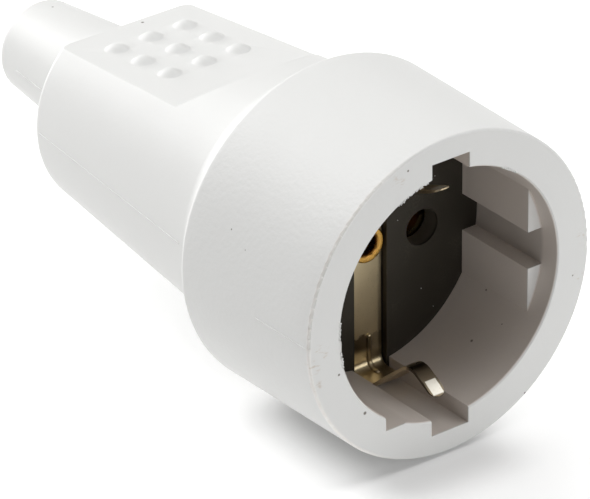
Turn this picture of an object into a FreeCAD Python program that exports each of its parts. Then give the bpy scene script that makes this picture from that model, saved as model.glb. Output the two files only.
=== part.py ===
"""Two-pole inline socket connector with side earth clips, as a parametric document.

A soft white sleeve holds a black insert at the bottom of its round well. The insert carries
two brass contacts behind its pin holes and a sprung earth strap whose ends lie in the top and
bottom notches. The origin is the centre of the mouth, +X points out of it and +Z is up.
Places along the axis are given as depths behind the mouth.
"""
import FreeCAD
import Part

import math
import os
import re

import Sketcher
from FreeCAD import Placement, Rotation, Vector

# Driving dimensions, in millimetres and degrees
SIZES = {
    # main sizes
    "overall_length": 101.6,
    "head_length": 29.2,
    "neck_end": 78.7,
    # head and well
    "head_front_radius": 25.5,
    "head_shoulder_radius": 26.0,
    "mouth_edge_round": 0.4,
    "mouth_lead_in": 0.25,
    "shoulder_round": 1.0,
    "well_radius": 19.75,
    "insert_depth": 18.5,
    # keyways, ribs and keying groove in the well
    "notch_width": 6.8,
    "notch_depth": 2.3,
    "rib_chord": 17.0,
    "rib_gap": 6.0,
    "rib_setback": 3.4,
    "groove_side": 11.7,
    "groove_floor": 18.1,
    "groove_width": 5.0,
    "groove_height": 6.0,
    # neck, tail and cable bore
    "shoulder_run": 4.3,
    "neck_front_radius": 21.4,
    "neck_rear_radius": 17.0,
    "flare_round": 5.0,
    "neck_end_round": 1.6,
    "tail_root_radius": 9.7,
    "tail_tip_radius": 7.4,
    "tail_tip_round": 1.4,
    "cable_bore_radius": 5.0,
    # grip pads
    "pad_rear_height": 12.2,
    "pad_front_height": 15.1,
    "pad_front": 47.6,
    "ramp_angle": 37.0,
    "pad_edge_round": 0.4,
    "bump_radius": 2.0,
    "bump_height": 0.85,
    "bump_seat": 0.3,
    "bump_centre": 64.9,
    "bump_pitch_length": 6.7,
    "bump_pitch_width": 6.3,
    # sleeve walls
    "sleeve_wall": 2.0,
    "throat_radius": 18.6,
    "fit_gap": 0.1,
    # insert
    "insert_radius": 22.4,
    "insert_thickness": 10.0,
    "pin_offset": 9.5,
    "pin_hole_radius": 2.9,
    "front_plate": 3.0,
    "chamber_radius": 4.4,
    "chamber_wall": 2.2,
    "chamber_end": 39.2,
    "channel_width": 6.0,
    "channel_depth": 1.55,
    # contacts and their springs
    "contact_bore": 2.45,
    "contact_radius": 3.5,
    "contact_gap": 0.7,
    "contact_slot": 0.8,
    "finger_length": 11.0,
    "collar_radius": 5.2,
    "collar_thickness": 1.2,
    "barrel_radius": 4.0,
    "barrel_length": 8.6,
    "wire_hole_radius": 1.6,
    "wire_hole_depth": 6.0,
    "spring_wire_radius": 0.4,
    "spring_setback": 3.0,
    "spring_opening": 40.0,
    # screws
    "screw_radius": 1.5,
    "screw_head_radius": 2.7,
    "screw_head_height": 1.8,
    "screw_slot": 0.7,
    "terminal_screw_length": 3.6,
    # earth strap and its clips
    "strap_width": 5.6,
    "strap_thickness": 0.5,
    "strap_bend": 1.5,
    "clip_floor_gap": 0.95,
    "clip_heel": 15.0,
    "clip_heel_bend": 1.2,
    "clip_crest": 8.0,
    "clip_crest_bend": 2.4,
    "low_clip_rise": 42.0,
    "low_clip_fall": 27.0,
    "low_clip_tip": 2.3,
    "high_clip_rise": 45.0,
    "high_clip_fall": 22.0,
    "high_clip_tip": 1.3,
    "clip_tip_width": 2.6,
    "lead_in_length": 2.4,
    "lead_in_drop": 0.3,
    "clip_tip_round": 1.2,
    "clip_taper_start": 13.0,
    "clip_taper_end": 8.6,
    # pressed beads that stiffen the strap's bends
    "bead_radius": 0.43,
    "bead_height": 0.38,
    "bead_run": 5.2,
    "bead_foot": 2.0,
    "bead_offset": 0.5,
    # hollow rivet
    "rivet_bore": 1.6,
    "rivet_radius": 2.2,
    "rivet_head_radius": 2.9,
    "rivet_head_height": 0.6,
    "rivet_round": 0.3,
    "rivet_mouth_round": 0.55,
    # contact cap with its cord saddle
    "cap_thickness": 2.2,
    "barrier_thickness": 1.0,
    "barrier_length": 5.5,
    "barrier_offset": 4.2,
    "tongue_half_width": 8.6,
    "tongue_thickness": 1.8,
    "tongue_low": 10.3,
    "saddle_gap": 3.2,
    "saddle_length": 6.0,
    "saddle_top": 2.0,
    "cord_radius": 4.6,
    # cord clamp
    "clamp_bar_height": 3.0,
    "clamp_bar_lift": 0.3,
    "clamp_screw_radius": 1.25,
    "clamp_screw_head_radius": 1.9,
    "clamp_screw_head_height": 1.3,
    "clamp_screw_depth": 6.0,
    # earth terminal
    "lug_thickness": 0.8,
    "lug_half_width": 3.2,
    "lug_top": 8.4,
    "lug_length": 7.6,
    "lug_nut_radius": 2.6,
    "lug_nut_height": 1.6,
    "washer_side": 6.0,
    "washer_thickness": 0.9,
}

FORWARD = Vector(1, 0, 0)
BACKWARD = Vector(-1, 0, 0)
UPWARD = Vector(0, 0, 1)
OVERSHOOT = "2"
NECK_START = "(head_length + shoulder_run)"
SADDLE_FRONT = "(chamber_end + barrel_length + saddle_gap)"
SAME_PLACE = 1e-4

document = FreeCAD.newDocument("inline_socket_connector")


def make_sheet():
    """Spreadsheet that holds every driving dimension under its own alias."""
    sheet = document.addObject("Spreadsheet::Sheet", "Sizes")
    for row, (name, value) in enumerate(SIZES.items(), start=1):
        sheet.set("A%d" % row, name)
        sheet.set("B%d" % row, str(value))
        sheet.setAlias("B%d" % row, name)
    document.recompute()
    return sheet


SHEET = make_sheet()


def size(name):
    """Value of one driving dimension, read from the sheet."""
    return float(SHEET.get(name))


def bound(formula):
    """Expression text in which each size name points at its cell."""
    return re.sub(r"[a-z_]+", lambda word: "Sizes." + word[0] if word[0] in SIZES else word[0], formula)


def bind(item, formulas):
    """Ties properties of a document object to formulas on the sheet."""
    for name, formula in formulas.items():
        item.setExpression(name, bound(formula))


# Solids between places on the sheet


def rod(name, radius, start, end, y="0", z="0"):
    """Cylinder along the axis, from one depth behind the mouth to another."""
    item = document.addObject("Part::Cylinder", name)
    item.Placement = Placement(Vector(), Rotation(UPWARD, BACKWARD))
    bind(item, {"Radius": radius, "Height": "(%s) - (%s)" % (end, start),
                "Placement.Base.x": "-(%s)" % start, "Placement.Base.y": y, "Placement.Base.z": z})
    return item


def post(name, radius, depth, y, low, high):
    """Upright cylinder at a depth behind the mouth, between two heights."""
    item = document.addObject("Part::Cylinder", name)
    bind(item, {"Radius": radius, "Height": "(%s) - (%s)" % (high, low),
                "Placement.Base.x": "-(%s)" % depth, "Placement.Base.y": y, "Placement.Base.z": low})
    return item


def block(name, depths, across, heights):
    """Box between two depths, two places across and two heights."""
    item = document.addObject("Part::Box", name)
    bind(item, {"Length": "(%s) - (%s)" % (depths[1], depths[0]), "Placement.Base.x": "-(%s)" % depths[1],
                "Width": "(%s) - (%s)" % (across[1], across[0]), "Placement.Base.y": across[0],
                "Height": "(%s) - (%s)" % (heights[1], heights[0]), "Placement.Base.z": heights[0]})
    return item


def fuse(name, *pieces):
    """One solid from pieces that meet."""
    item = document.addObject("Part::MultiFuse", name)
    item.Shapes = list(pieces)
    item.Refine = True
    return item


def cut(name, base, *tools):
    """Base with every tool taken away from it."""
    item = document.addObject("Part::Cut", name)
    item.Base = base
    item.Tool = tools[0] if len(tools) == 1 else fuse(name + "_tools", *tools)
    item.Refine = True
    return item


# Sketches whose corners are formulas on the sheet


def new_sketch(body, name, role):
    """Empty sketch on one of the body's own origin planes."""
    sketch = body.newObject("Sketcher::SketchObject", name)
    plane = next(item for item in body.Origin.OriginFeatures if item.Role == role)
    sketch.AttachmentSupport = [(plane, "")]
    sketch.MapMode = "FlatFace"
    return sketch


def fix_coordinate(sketch, kind, axis, edge, formula):
    """Holds one coordinate of an edge's start point at a formula."""
    if formula == "0":
        sketch.addConstraint(Sketcher.Constraint("PointOnObject", edge, 1, axis))
        return
    index = sketch.addConstraint(Sketcher.Constraint(kind, -1, 1, edge, 1, 1.0))
    sketch.setExpression("Constraints[%d]" % index, bound(formula))


def add_outline(sketch, corners):
    """Closed outline of straight edges through corners given as pairs of formulas."""
    first = sketch.GeometryCount
    count = len(corners)
    turns = [2 * math.pi * step / count for step in range(count + 1)]
    ring = [Vector(math.cos(turn), math.sin(turn), 0) for turn in turns]
    for step in range(count):
        sketch.addGeometry(Part.LineSegment(ring[step], ring[step + 1]))
    for step in range(count):
        following = first + (step + 1) % count
        sketch.addConstraint(Sketcher.Constraint("Coincident", first + step, 2, following, 1))
    for step, (across, along) in enumerate(corners):
        fix_coordinate(sketch, "DistanceX", -2, first + step, across)
        fix_coordinate(sketch, "DistanceY", -1, first + step, along)


def rectangle(left, right, low, high):
    """Corners of a rectangle between four formulas."""
    return [(left, low), (right, low), (right, high), (left, high)]


def revolve(body, name, corners):
    """Solid of revolution about X from an outline in the XZ plane."""
    sketch = new_sketch(body, name + "_profile", "XZ_Plane")
    add_outline(sketch, corners)
    document.recompute()
    turned = body.newObject("PartDesign::Revolution", name)
    turned.Profile = sketch
    turned.ReferenceAxis = (sketch, ["H_Axis"])
    turned.Angle = 360.0
    document.recompute()
    return turned


def extrude(body, name, kind, role, outlines, length, start="0", symmetric=False, reverse=False):
    """Pad or pocket of outlines drawn on an origin plane, moved along its normal by start."""
    sketch = new_sketch(body, name + "_profile", role)
    bind(sketch, {"AttachmentOffset.Base.z": start})
    for corners in outlines:
        add_outline(sketch, corners)
    document.recompute()
    feature = body.newObject("PartDesign::" + kind, name)
    feature.Profile = sketch
    feature.Midplane = symmetric
    feature.Reversed = reverse
    bind(feature, {"Length": length})
    document.recompute()
    return feature


def round_edges(body, name, radius, chosen):
    """Fillet on the edges of the body's tip that the test picks."""
    base = body.Tip
    edges = ["Edge%d" % (number + 1) for number, edge in enumerate(base.Shape.Edges) if chosen(edge)]
    fillet = body.newObject("PartDesign::Fillet", name)
    fillet.Base = (base, edges)
    bind(fillet, {"Radius": radius})
    document.recompute()
    return fillet


def is_ring(depth, radius):
    """Test for the circular edge of a turned form at a depth and radius."""
    def chosen(edge):
        curve = edge.Curve
        return (curve.TypeId == "Part::GeomCircle" and abs(curve.Center.x + depth) < SAME_PLACE
                and abs(curve.Radius - radius) < SAME_PLACE)
    return chosen


def is_crease(corner):
    """Test for an edge across the part that runs through a corner of an XZ outline."""
    def chosen(edge):
        ends = [vertex.Point for vertex in edge.Vertexes]
        return all(math.hypot(place.x - corner.x, place.z - corner.y) < SAME_PLACE for place in ends)
    return chosen


def is_pad_edge(edge):
    """Test for an edge where a grip pad meets the side of the neck."""
    middle = edge.valueAt((edge.FirstParameter + edge.LastParameter) / 2)
    slope = (size("pad_front_height") - size("pad_rear_height")) / (size("neck_end") - size("pad_front"))

    def off_pad(place):
        return abs(abs(place.z) - size("pad_rear_height") - (size("neck_end") + place.x) * slope)

    places = [vertex.Point for vertex in edge.Vertexes] + [middle]
    return abs(middle.y) > size("bump_pitch_width") and all(off_pad(place) < SAME_PLACE for place in places)


def is_tip_corner(edge):
    """Test for a short corner edge at the end of a clip."""
    ends = [vertex.Point for vertex in edge.Vertexes]
    middle = edge.valueAt((edge.FirstParameter + edge.LastParameter) / 2)
    aside = abs(abs(middle.y) - size("clip_tip_width") / 2) < SAME_PLACE
    return aside and all(place.x > -size("low_clip_tip") - size("strap_thickness") for place in ends)


# Sleeve


def pad_outline(side, drop):
    """Wedge above a grip pad, lowered by drop; side is 1 for the top pad and -1 for the other."""
    slope = "(pad_front_height - pad_rear_height) / (neck_end - pad_front)"
    rear = "(pad_rear_height - %s - %s * %s)" % (drop, OVERSHOOT, slope)
    front = "(pad_front_height - %s)" % drop
    high = "(head_shoulder_radius + %s)" % OVERSHOOT
    ramp_end = "-pad_front + (%s - %s) / tan(ramp_angle * 1 deg)" % (high, front)
    rows = [("-neck_end - %s" % OVERSHOOT, rear), ("-pad_front", front), (ramp_end, high),
            ("-neck_end - %s" % OVERSHOOT, high)]
    return [(along, "%d * %s" % (side, height)) for along, height in rows]


def make_outer_form():
    """Outside of the sleeve: head, flared shoulder, tapered neck with two grip pads, and tail."""
    body = document.addObject("PartDesign::Body", "sleeve_outside")
    revolve(body, "turned_outside", [
        ("0", "0"), ("0", "head_front_radius"), ("-head_length", "head_shoulder_radius"),
        ("-" + NECK_START, "neck_front_radius"), ("-neck_end", "neck_rear_radius"),
        ("-neck_end", "tail_root_radius"), ("-overall_length", "tail_tip_radius"),
        ("-overall_length", "0")])
    rounds = [("flare_round", size("head_length") + size("shoulder_run"), "neck_front_radius"),
              ("shoulder_round", size("head_length"), "head_shoulder_radius"),
              ("neck_end_round", size("neck_end"), "neck_rear_radius"),
              ("tail_tip_round", size("overall_length"), "tail_tip_radius")]
    round_edges(body, "rounded_mouth", "mouth_edge_round", is_ring(0.0, size("head_front_radius")))
    for radius, depth, ring in rounds:
        round_edges(body, "turned_" + radius, radius, is_ring(depth, size(ring)))
    outlines = [pad_outline(side, "0") for side in (1, -1)]
    extrude(body, "grip_pads", "Pocket", "XZ_Plane", outlines, "4 * head_shoulder_radius", symmetric=True)
    round_edges(body, "softened_pads", "pad_edge_round", is_pad_edge)
    return body


def make_hollow_form():
    """Inside of the sleeve: well, insert seat, throat, neck hollow with flats, and cable bore."""
    body = document.addObject("PartDesign::Body", "sleeve_inside")
    seat_end = "-insert_depth - insert_thickness - fit_gap"
    neck_back = "-neck_end + sleeve_wall"
    past_tail = "-overall_length - %s" % OVERSHOOT
    revolve(body, "turned_inside", [
        (OVERSHOOT, "0"), (OVERSHOOT, "well_radius + mouth_lead_in + %s" % OVERSHOOT),
        ("-mouth_lead_in", "well_radius"), ("-insert_depth", "well_radius"),
        ("-insert_depth", "insert_radius + fit_gap"), (seat_end, "insert_radius + fit_gap"),
        (seat_end, "throat_radius"), ("-" + NECK_START, "throat_radius"),
        (neck_back, "neck_rear_radius - sleeve_wall"), (neck_back, "cable_bore_radius"),
        (past_tail, "cable_bore_radius"), (past_tail, "0")])
    flats = [pad_outline(side, "sleeve_wall") for side in (1, -1)]
    extrude(body, "inner_flats", "Pocket", "XZ_Plane", flats, "4 * head_shoulder_radius", symmetric=True)
    reach = "sqrt(well_radius^2 - rib_chord^2) + %s" % OVERSHOOT
    far = "well_radius + %s" % OVERSHOOT
    ribs = []
    for low, high in (("rib_gap / 2", reach), ("-(%s)" % reach, "-rib_gap / 2")):
        ribs.append(rectangle("rib_chord", far, low, high))
        ribs.append(rectangle("-(%s)" % far, "-rib_chord", low, high))
    extrude(body, "ribs", "Pocket", "YZ_Plane", ribs, "insert_depth - rib_setback",
            start="-insert_depth", reverse=True)
    notch = rectangle("-notch_width / 2", "notch_width / 2", "-well_radius - notch_depth",
                      "well_radius + notch_depth")
    extrude(body, "notches", "Pad", "YZ_Plane", [notch], "insert_depth + %s" % OVERSHOOT,
            start="-insert_depth")
    groove = rectangle("-groove_side", "-groove_side + groove_width", "-groove_floor",
                       "-groove_floor + groove_height")
    extrude(body, "keying_groove", "Pad", "YZ_Plane", [groove], "insert_depth + %s" % OVERSHOOT,
            start="-insert_depth")
    return body


def make_bumps():
    """Domed grip bumps in three rows of three on each pad, set a little into it."""
    climb = size("pad_front_height") - size("pad_rear_height")
    slope = math.atan2(climb, size("neck_end") - size("pad_front"))
    lean = "atan((pad_front_height - pad_rear_height) / (neck_end - pad_front))"
    ball = "(bump_radius^2 + bump_height^2) / (2 * bump_height)"
    bumps = []
    for side in (1, -1):
        for row in (-1, 0, 1):
            for column in (-1, 0, 1):
                bump = document.addObject("Part::Sphere", "bump")
                turn = -math.degrees(slope) if side > 0 else 180.0 + math.degrees(slope)
                bump.Placement = Placement(Vector(), Rotation(Vector(0, 1, 0), turn))
                along = "(bump_centre + %d * bump_pitch_length * cos(%s))" % (row, lean)
                height = "(pad_rear_height + (neck_end - %s) * tan(%s))" % (along, lean)
                sunk = "((%s) - bump_height)" % ball
                base = "asin(((%s) - bump_height - bump_seat) / (%s))" % (ball, ball)
                bind(bump, {"Radius": ball, "Angle1": base,
                            "Placement.Base.x": "-%s + %s * sin(%s)" % (along, sunk, lean),
                            "Placement.Base.y": "%d * bump_pitch_width" % column,
                            "Placement.Base.z": "%d * (%s - %s * cos(%s))" % (side, height, sunk, lean)})
                bumps.append(bump)
    return bumps


def make_sleeve():
    """One soft moulding: outside form with its grip bumps, less the hollow."""
    shell = cut("sleeve_shell", make_outer_form(), make_hollow_form())
    return fuse("body_sleeve", shell, *make_bumps())


# Insert


def twin(maker, name):
    """The same solid on the left and right pole."""
    return [maker(name + "_left", "-pin_offset"), maker(name + "_right", "pin_offset")]


def make_insert():
    """Black carrier: disc with pin holes and strap channel, and a contact chamber behind each hole."""
    back = "insert_depth + insert_thickness"
    outer = "chamber_radius + chamber_wall"
    disc = rod("insert_disc", "insert_radius", "insert_depth", back)
    tubes = twin(lambda name, y: rod(name, outer, back, "chamber_end", y), "chamber_tube")
    bridge = block("chamber_bridge", (back, "chamber_end"), ("-pin_offset", "pin_offset"),
                   ("-rivet_head_radius - chamber_wall", "rivet_head_radius + chamber_wall"))
    solid = fuse("insert_solid", disc, bridge, *tubes)
    plate_back = "insert_depth + front_plate"
    holes = twin(lambda name, y: rod(name, "pin_hole_radius", "insert_depth - %s" % OVERSHOOT,
                                     plate_back + " + %s" % OVERSHOOT, y), "pin_hole")
    past_end = "chamber_end + %s" % OVERSHOOT
    chambers = twin(lambda name, y: rod(name, "chamber_radius", plate_back, past_end, y), "chamber")
    seats = twin(lambda name, y: rod(name, "collar_radius + fit_gap", "chamber_end - collar_thickness",
                                     past_end, y), "collar_seat")
    channel = block("strap_channel", ("insert_depth - %s" % OVERSHOOT, "insert_depth + channel_depth"),
                    ("-channel_width / 2", "channel_width / 2"),
                    ("-insert_radius - %s" % OVERSHOOT, "insert_radius + %s" % OVERSHOOT))
    eye = rod("insert_eye", "rivet_radius + fit_gap", "insert_depth", past_end)
    return cut("insert_base", solid, channel, eye, *(holes + chambers + seats))


# Contacts


def make_contact(pole, y):
    """Turned brass contact: four sprung fingers round the pin, a collar and a screw barrel."""
    front = "insert_depth + front_plate + contact_gap"
    collar = "chamber_end - collar_thickness"
    end = "chamber_end + barrel_length"
    body = fuse(pole + "_contact_solid", rod(pole + "_fingers", "contact_radius", front, collar, y),
                rod(pole + "_collar", "collar_radius", collar, "chamber_end", y),
                rod(pole + "_barrel", "barrel_radius", "chamber_end", end, y))
    bore = rod(pole + "_bore", "contact_bore", front + " - %s" % OVERSHOOT, collar, y)
    wire = rod(pole + "_wire_hole", "wire_hole_radius", end + " - wire_hole_depth",
               end + " + %s" % OVERSHOOT, y)
    screw = post(pole + "_screw_hole", "screw_radius + fit_gap / 2", end + " - wire_hole_depth / 2", y,
                 "0", "barrel_radius + %s" % OVERSHOOT)
    half = "contact_slot / 2"
    reach = "contact_radius + %s" % OVERSHOOT
    depths = (front + " - %s" % OVERSHOOT, front + " + finger_length")
    upright = block(pole + "_slot_upright", depths, ("%s - %s" % (y, half), "%s + %s" % (y, half)),
                    ("-(%s)" % reach, reach))
    level = block(pole + "_slot_level", depths, ("%s - (%s)" % (y, reach), "%s + %s" % (y, reach)),
                  ("-" + half, half))
    groove_radius = "contact_radius + %s" % OVERSHOOT
    centre = front + " + spring_setback"
    ring = cut(pole + "_spring_groove",
               rod(pole + "_groove_outside", groove_radius, centre + " - spring_wire_radius",
                   centre + " + spring_wire_radius", y),
               rod(pole + "_groove_inside", "contact_radius - spring_wire_radius",
                   centre + " - %s" % OVERSHOOT, centre + " + %s" % OVERSHOOT, y))
    return cut(pole + "_contact", body, bore, wire, screw, upright, level, ring)


def make_contact_spring(pole, y):
    """Open ring of spring wire that sits in the groove round the contact's fingers."""
    ring = document.addObject("Part::Torus", pole + "_contact_spring")
    ring.Placement = Placement(Vector(), Rotation(UPWARD, FORWARD))
    bind(ring, {"Radius1": "contact_radius + fit_gap / 2", "Radius2": "spring_wire_radius - fit_gap / 2",
                "Angle3": "360 - spring_opening",
                "Placement.Base.x": "-insert_depth - front_plate - contact_gap - spring_setback",
                "Placement.Base.y": y})
    return ring


def make_screw(name, depth, y, seat, length, radius, head_radius, head_height):
    """Slotted cheese-head screw that points down from its seat."""
    top = "%s + %s" % (seat, head_height)
    shank = post(name + "_shank", radius, depth, y, "%s - (%s)" % (seat, length), seat)
    head = post(name + "_head", head_radius, depth, y, seat, top)
    past_head = "%s + %s" % (head_radius, OVERSHOOT)
    slot = block(name + "_slot", ("%s - screw_slot / 2" % depth, "%s + screw_slot / 2" % depth),
                 ("%s - (%s)" % (y, past_head), "%s + %s" % (y, past_head)),
                 ("%s - %s / 2" % (top, head_height), "%s + %s" % (top, OVERSHOOT)))
    return cut(name, fuse(name + "_solid", shank, head), slot)


def make_terminal_screw(pole, y):
    """Wire screw in the top of a contact's barrel."""
    depth = "chamber_end + barrel_length - wire_hole_depth / 2"
    return make_screw(pole + "_terminal_screw", depth, y, "barrel_radius", "terminal_screw_length",
                      "screw_radius", "screw_head_radius", "screw_head_height")


# Earth parts


def clip_corners(side):
    """Outer and inner corners of one bent end of the strap; side is 1 at the top and -1 at the bottom."""
    which = "high" if side > 0 else "low"
    half = "(strap_thickness / 2)"
    rise = "(%s_clip_rise * 1 deg)" % which
    fall = "(%s_clip_fall * 1 deg)" % which
    reach = "%s_clip_tip" % which
    back = "insert_depth + channel_depth"
    outer_run = "(well_radius + notch_depth - clip_floor_gap)"
    run = "(%s - %s)" % (outer_run, half)
    crest = "(%s - (clip_heel - clip_crest) * tan(%s))" % (run, rise)
    tip = "(%s + (clip_crest - %s) * tan(%s))" % (crest, reach, fall)
    lean = "((%s - %s) / 2)" % (rise, fall)
    mitre = "(%s / cos((%s + %s) / 2))" % (half, rise, fall)

    def heel(sign):
        return ("-clip_heel + %d * %s * tan(%s / 2)" % (sign, half, rise),
                "(%s + %d * %s)" % (run, sign, half))

    def top(sign):
        return ("-clip_crest + %d * %s * sin(%s)" % (sign, mitre, lean),
                "(%s + %d * %s * cos(%s))" % (crest, sign, mitre, lean))

    def end(offset, short):
        return ("-%s - %s * sin(%s) - %s * cos(%s)" % (reach, offset, fall, short, fall),
                "(%s + %s * cos(%s) - %s * sin(%s))" % (tip, offset, fall, short, fall))

    outer = [("-(%s)" % back, outer_run), heel(1), top(1), end(half, "0")]
    inner = [("-(%s) + strap_thickness" % back, "(%s - %s)" % (run, half)), heel(-1), top(-1),
             end("(-%s)" % half, "lead_in_length"), end("(lead_in_drop - %s)" % half, "0")]
    return [[(along, "%d * %s" % (side, height)) for along, height in row] for row in (outer, inner)]


def make_bead(name, side):
    """Rounded bead pressed up across a bend of the strap, sunk in the metal on its hollow side."""
    front = "(insert_depth + channel_depth - strap_thickness)"
    leg = "(well_radius + notch_depth - clip_floor_gap - strap_thickness)"
    sunk = "(bead_radius - bead_height)"
    upright = document.addObject("Part::Cylinder", name + "_upright")
    upright.Placement = Placement(Vector(), Rotation(UPWARD, Vector(0, 0, -side)))
    bind(upright, {"Radius": "bead_radius", "Height": "bead_run - strap_bend",
                   "Placement.Base.x": "-%s - %s" % (front, sunk), "Placement.Base.y": "bead_offset",
                   "Placement.Base.z": "%d * (%s - strap_bend)" % (side, leg)})
    foot = document.addObject("Part::Cylinder", name + "_foot")
    foot.Placement = Placement(Vector(), Rotation(UPWARD, FORWARD))
    bind(foot, {"Radius": "bead_radius", "Height": "bead_foot - strap_bend",
                "Placement.Base.x": "-%s + strap_bend" % front, "Placement.Base.y": "bead_offset",
                "Placement.Base.z": "%d * (%s + %s)" % (side, leg, sunk)})
    bend = document.addObject("Part::Torus", name + "_bend")
    bend.Placement = Placement(Vector(), Rotation(BACKWARD, Vector(0, 0, side), Vector(0, side, 0), "XYZ"))
    bind(bend, {"Radius1": "strap_bend + %s" % sunk, "Radius2": "bead_radius", "Angle3": "90",
                "Placement.Base.x": "-%s + strap_bend" % front, "Placement.Base.y": "bead_offset",
                "Placement.Base.z": "%d * (%s - strap_bend)" % (side, leg)})
    ends = []
    for label, along, height in (("head", "-%s - %s" % (front, sunk), "(%s - bead_run)" % leg),
                                 ("toe", "-%s + bead_foot" % front, "(%s + %s)" % (leg, sunk))):
        ball = document.addObject("Part::Sphere", "%s_%s" % (name, label))
        bind(ball, {"Radius": "bead_radius", "Placement.Base.x": along, "Placement.Base.y": "bead_offset",
                    "Placement.Base.z": "%d * %s" % (side, height)})
        ends.append(ball)
    return [upright, foot, bend] + ends


def make_strap():
    """Sprung earth strap: a flat strip whose ends bend forward into the notches and rise to a crest."""
    body = document.addObject("PartDesign::Body", "earth_strap_strip")
    low_outer, low_inner = clip_corners(-1)
    high_outer, high_inner = clip_corners(1)
    corners = low_outer + low_inner[::-1] + high_inner + high_outer[::-1]
    strip = extrude(body, "bent_strip", "Pad", "XZ_Plane", [corners], "strap_width", symmetric=True)
    places = [line.StartPoint for line in strip.Profile[0].Geometry]
    low_end = len(low_outer) + len(low_inner)
    bends = (("strap_bend + strap_thickness", "strap_bend"),
             ("clip_heel_bend + strap_thickness", "clip_heel_bend"),
             ("clip_crest_bend", "clip_crest_bend + strap_thickness"))
    for step, (outer_radius, inner_radius) in enumerate(bends):
        outer_pair = (places[step], places[len(places) - 1 - step])
        inner_pair = (places[low_end - 1 - step], places[low_end + step])
        sides = (("outer", outer_radius, outer_pair), ("inner", inner_radius, inner_pair))
        for label, radius, pair in sides:
            tests = [is_crease(place) for place in pair]
            round_edges(body, "%s_bend_%d" % (label, step), radius,
                        lambda edge, tests=tests: any(test(edge) for test in tests))
    tapers = []
    for sign in (1, -1):
        half = "%d * clip_tip_width / 2" % sign
        far = "%d * strap_width" % sign
        tapers.append([("-clip_taper_start", "%d * strap_width / 2" % sign), ("-clip_taper_end", half),
                       (OVERSHOOT, half), (OVERSHOOT, far), ("-clip_taper_start", far)])
    extrude(body, "clip_tapers", "Pocket", "XY_Plane", tapers, "4 * insert_radius", symmetric=True)
    round_edges(body, "rounded_tips", "clip_tip_round", is_tip_corner)
    eye = rod("strap_eye", "rivet_radius + fit_gap / 2", "insert_depth - %s" % OVERSHOOT,
              "insert_depth + channel_depth + %s" % OVERSHOOT)
    strip_with_eye = cut("strip_with_eye", body, eye)
    return fuse("earth_strap", strip_with_eye, *(make_bead("low_bead", -1) + make_bead("high_bead", 1)))


def make_rivet():
    """Hollow brass rivet with a rolled head on the strap and a flared end behind the earth lug."""
    body = document.addObject("PartDesign::Body", "earth_rivet")
    seat = "insert_depth + channel_depth - strap_thickness"
    end = "chamber_end + cap_thickness + lug_thickness"
    head = "-(%s) + rivet_head_height" % seat
    flare = "-(%s) - rivet_head_height" % end
    revolve(body, "turned_rivet", [
        (head, "rivet_bore"), (head, "rivet_head_radius"), ("-(%s)" % seat, "rivet_head_radius"),
        ("-(%s)" % seat, "rivet_radius"), ("-(%s)" % end, "rivet_radius"),
        ("-(%s)" % end, "rivet_head_radius"), (flare, "rivet_head_radius"), (flare, "rivet_bore")])
    seat_depth = size("insert_depth") + size("channel_depth") - size("strap_thickness")
    front = seat_depth - size("rivet_head_height")
    for ring, radius in (("rivet_head_radius", "rivet_round"), ("rivet_bore", "rivet_mouth_round")):
        round_edges(body, "rolled_" + ring, radius, is_ring(front, size(ring)))
    return body


def make_lug():
    """Earth lug: a bent brass plate behind the cap with a threaded collar in its level leg."""
    back = "chamber_end + cap_thickness"
    half = ("-lug_half_width", "lug_half_width")
    upright = block("lug_upright", (back, back + " + lug_thickness"), half, ("-lug_half_width", "lug_top"))
    level = block("lug_level", (back, back + " + lug_length"), half, ("lug_top - lug_thickness", "lug_top"))
    centre = back + " + lug_length - washer_side / 2"
    nut = post("lug_nut", "lug_nut_radius", centre, "0", "lug_top - lug_thickness - lug_nut_height",
               "lug_top")
    eye = rod("lug_eye", "rivet_radius + fit_gap / 2", back + " - %s" % OVERSHOOT,
              back + " + %s" % OVERSHOOT)
    thread = post("lug_thread", "screw_radius + fit_gap / 2", centre, "0", "0", "lug_top + %s" % OVERSHOOT)
    return cut("earth_lug", fuse("earth_lug_solid", upright, level, nut), eye, thread)


def make_washer():
    """Square clamp washer on the earth lug."""
    centre = "chamber_end + cap_thickness + lug_length - washer_side / 2"
    plate = block("washer_plate", (centre + " - washer_side / 2", centre + " + washer_side / 2"),
                  ("-washer_side / 2", "washer_side / 2"), ("lug_top", "lug_top + washer_thickness"))
    hole = post("washer_hole", "screw_radius + fit_gap", centre, "0", "0",
                "lug_top + washer_thickness + %s" % OVERSHOOT)
    return cut("earth_clamp_washer", plate, hole)


def make_earth_screw():
    """Screw that presses the clamp washer on to the earth lug."""
    centre = "chamber_end + cap_thickness + lug_length - washer_side / 2"
    length = "washer_thickness + lug_thickness + lug_nut_height"
    return make_screw("earth_terminal_screw", centre, "0", "(lug_top + washer_thickness)", length,
                      "screw_radius", "screw_head_radius", "screw_head_height")


# Contact cap and cord clamp


def saddle_places():
    """Depth of the clamp screws and how far they stand to each side."""
    return SADDLE_FRONT + " + saddle_length / 2", "(cord_radius + tongue_half_width) / 2"


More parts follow.
